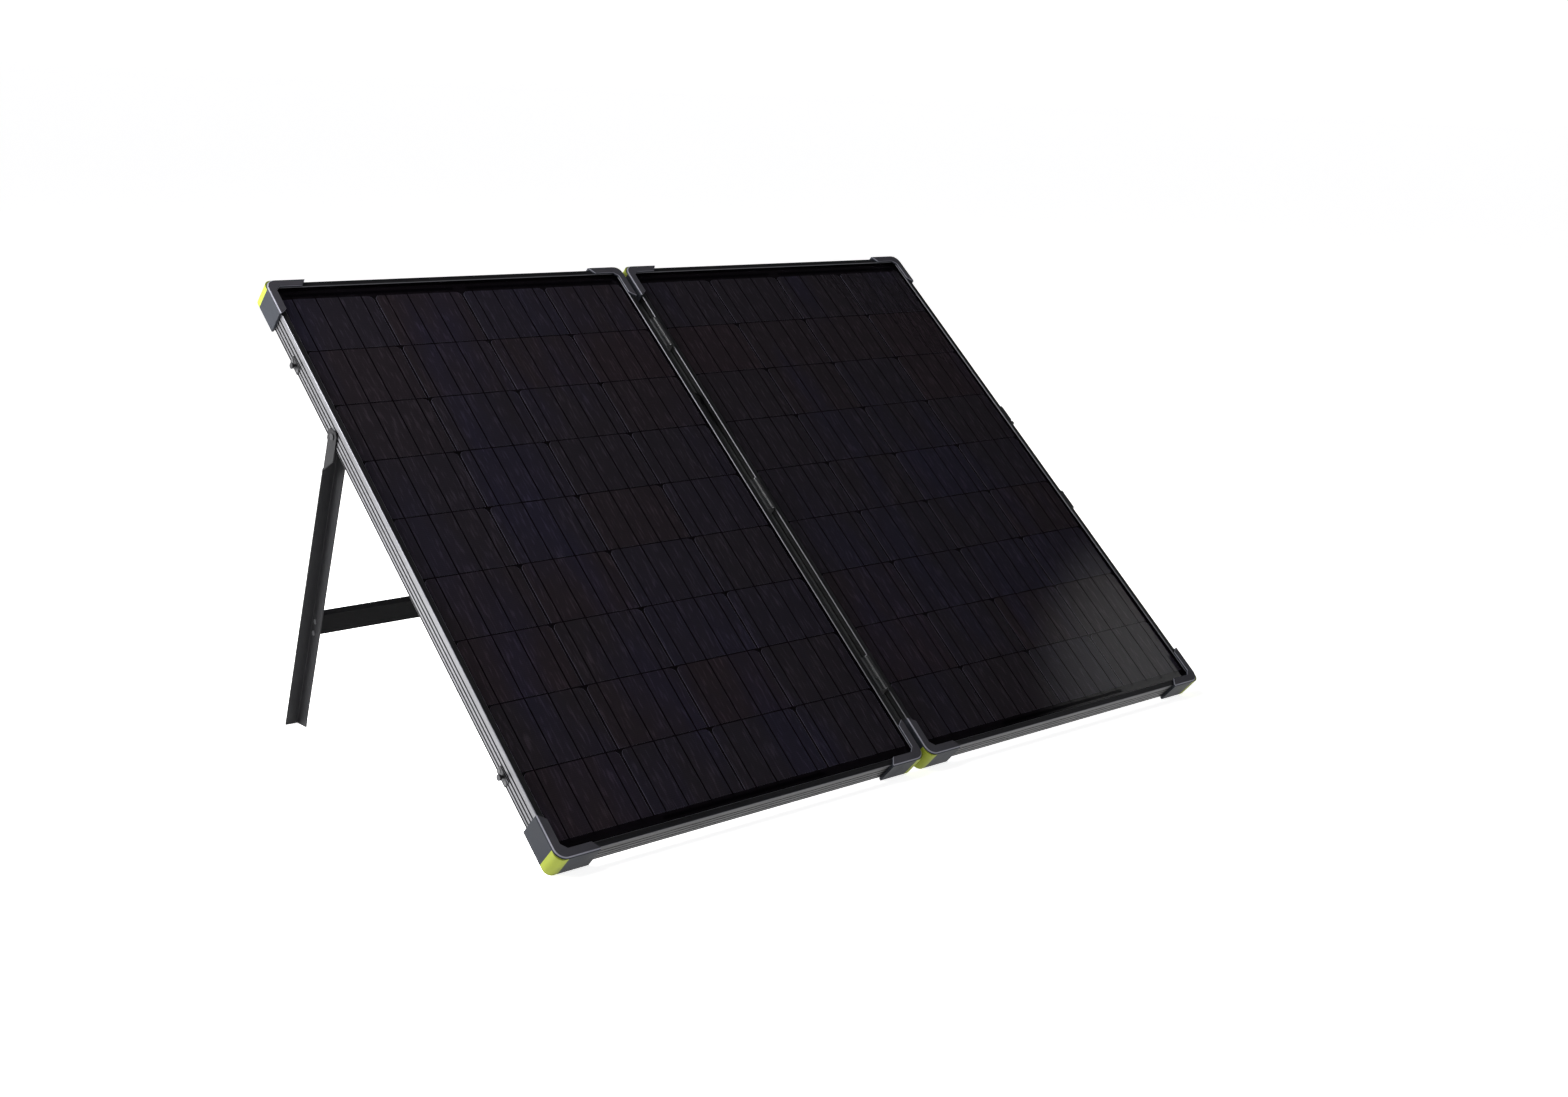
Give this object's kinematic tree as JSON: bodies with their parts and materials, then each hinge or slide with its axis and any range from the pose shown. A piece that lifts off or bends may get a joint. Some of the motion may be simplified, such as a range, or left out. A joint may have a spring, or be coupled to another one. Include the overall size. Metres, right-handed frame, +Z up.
{
  "type": "folding solar panel",
  "caption": "Folding solar panel: framed glass panels hinged side by side, with corner guards, fold-out stands, side latches and a carrying handle.",
  "frame": {"origin": "centre of the footprint, on the ground the open panel stands on", "axes": "+X along both panels, towards the panel with the handle; +Y towards the back, where the stands are; +Z up"},
  "size_m": [1.3752, 0.8032, 0.6831],
  "materials": {
    "frame_black": "black anodised, satin",
    "panel_glass": "clear, smooth",
    "solar_cells": "dark cells laminated on black",
    "backsheet_white": "white polymer film",
    "seal_black": "butyl seal",
    "key_steel": "zinc plated",
    "box_plastic": "moulded, fine texture",
    "gland_plastic": "moulded",
    "guard_plastic": "moulded, fine texture",
    "insert_lime": "yellow-green moulded",
    "rivet_black": "black",
    "bolt_steel": "zinc plated",
    "stand_black": "black anodised, satin",
    "hinge_black": "black powder coat",
    "bracket_plastic": "moulded",
    "bail_steel": "black powder coat",
    "grip_rubber": "soft matt",
    "latch_steel": "plated"
  },
  "bodies": {
    "left_panel": {"left_frame_outer_rail": "frame_black", "left_frame_hinge_rail": "frame_black", "left_frame_top_rail": "frame_black", "left_frame_bottom_rail": "frame_black", "left_glass": "panel_glass", "left_cell_layer": "solar_cells", "left_backsheet": "backsheet_white", "left_edge_seal": "seal_black", "left_corner_keys": "key_steel", "left_junction_box": "box_plastic", "left_junction_box_lid": "box_plastic", "left_cable_glands": "gland_plastic", "left_guard_top_outer": "guard_plastic", "left_guard_top_hinge": "guard_plastic", "left_guard_bottom_outer": "guard_plastic", "left_guard_bottom_hinge": "guard_plastic", "left_guard_inserts": "insert_lime", "left_rivets": "rivet_black", "left_pivot_bolts": "bolt_steel", "left_pivot_nuts": "bolt_steel", "hinge_leaves_left": "hinge_black", "hinge_pins": "bolt_steel", "latch_keepers": "latch_steel"},
    "right_panel": {"right_frame_outer_rail": "frame_black", "right_frame_hinge_rail": "frame_black", "right_frame_top_rail": "frame_black", "right_frame_bottom_rail": "frame_black", "right_glass": "panel_glass", "right_cell_layer": "solar_cells", "right_backsheet": "backsheet_white", "right_edge_seal": "seal_black", "right_corner_keys": "key_steel", "right_junction_box": "box_plastic", "right_junction_box_lid": "box_plastic", "right_cable_glands": "gland_plastic", "right_guard_top_outer": "guard_plastic", "right_guard_top_hinge": "guard_plastic", "right_guard_bottom_outer": "guard_plastic", "right_guard_bottom_hinge": "guard_plastic", "right_guard_inserts": "insert_lime", "right_rivets": "rivet_black", "right_pivot_bolts": "bolt_steel", "right_pivot_nuts": "bolt_steel", "hinge_leaves_right": "hinge_black", "handle_brackets": "bracket_plastic", "latch_bases": "latch_steel"},
    "left_stand": {"left_leg_outer": "stand_black", "left_leg_hinge": "stand_black", "left_crossbar": "stand_black", "left_stand_rivets": "rivet_black"},
    "right_stand": {"right_leg_outer": "stand_black", "right_leg_hinge": "stand_black", "right_crossbar": "stand_black", "right_stand_rivets": "rivet_black"},
    "handle": {"handle_bail": "bail_steel", "handle_grip": "grip_rubber"},
    "upper_latch": {"latch_arm_upper": "latch_steel"},
    "lower_latch": {"latch_arm_lower": "latch_steel"}
  },
  "joints": [
    {"name": "panel_fold", "type": "hinge", "parent": "left_panel", "child": "right_panel", "pos_m": [-0.0036, -0.01438, 0.35852], "axis": [0, -0.766, -0.6428], "range_deg": [0, 180]},
    {"name": "left_stand_fold", "type": "hinge", "parent": "left_panel", "child": "left_stand", "pos_m": [-0.3456, 0.17118, 0.47963], "axis": [-1, 0, 0], "range_deg": [0, 65.5]},
    {"name": "right_stand_fold", "type": "hinge", "parent": "right_panel", "child": "right_stand", "pos_m": [0.3384, 0.17118, 0.47963], "axis": [-1, 0, 0], "range_deg": [0, 65.5]},
    {"name": "handle_swing", "type": "hinge", "parent": "right_panel", "child": "handle", "pos_m": [0.6816, -0.0057, 0.34818], "axis": [0, -0.766, -0.6428], "range_deg": [0, 90]},
    {"name": "upper_latch_swing", "type": "hinge", "parent": "right_panel", "child": "upper_latch", "pos_m": [0.6759, 0.28285, 0.56746], "axis": [-1, 0, 0], "range_deg": [0, 90]},
    {"name": "lower_latch_swing", "type": "hinge", "parent": "right_panel", "child": "lower_latch", "pos_m": [0.6759, -0.27176, 0.10208], "axis": [1, 0, 0], "range_deg": [0, 90]}
  ]
}
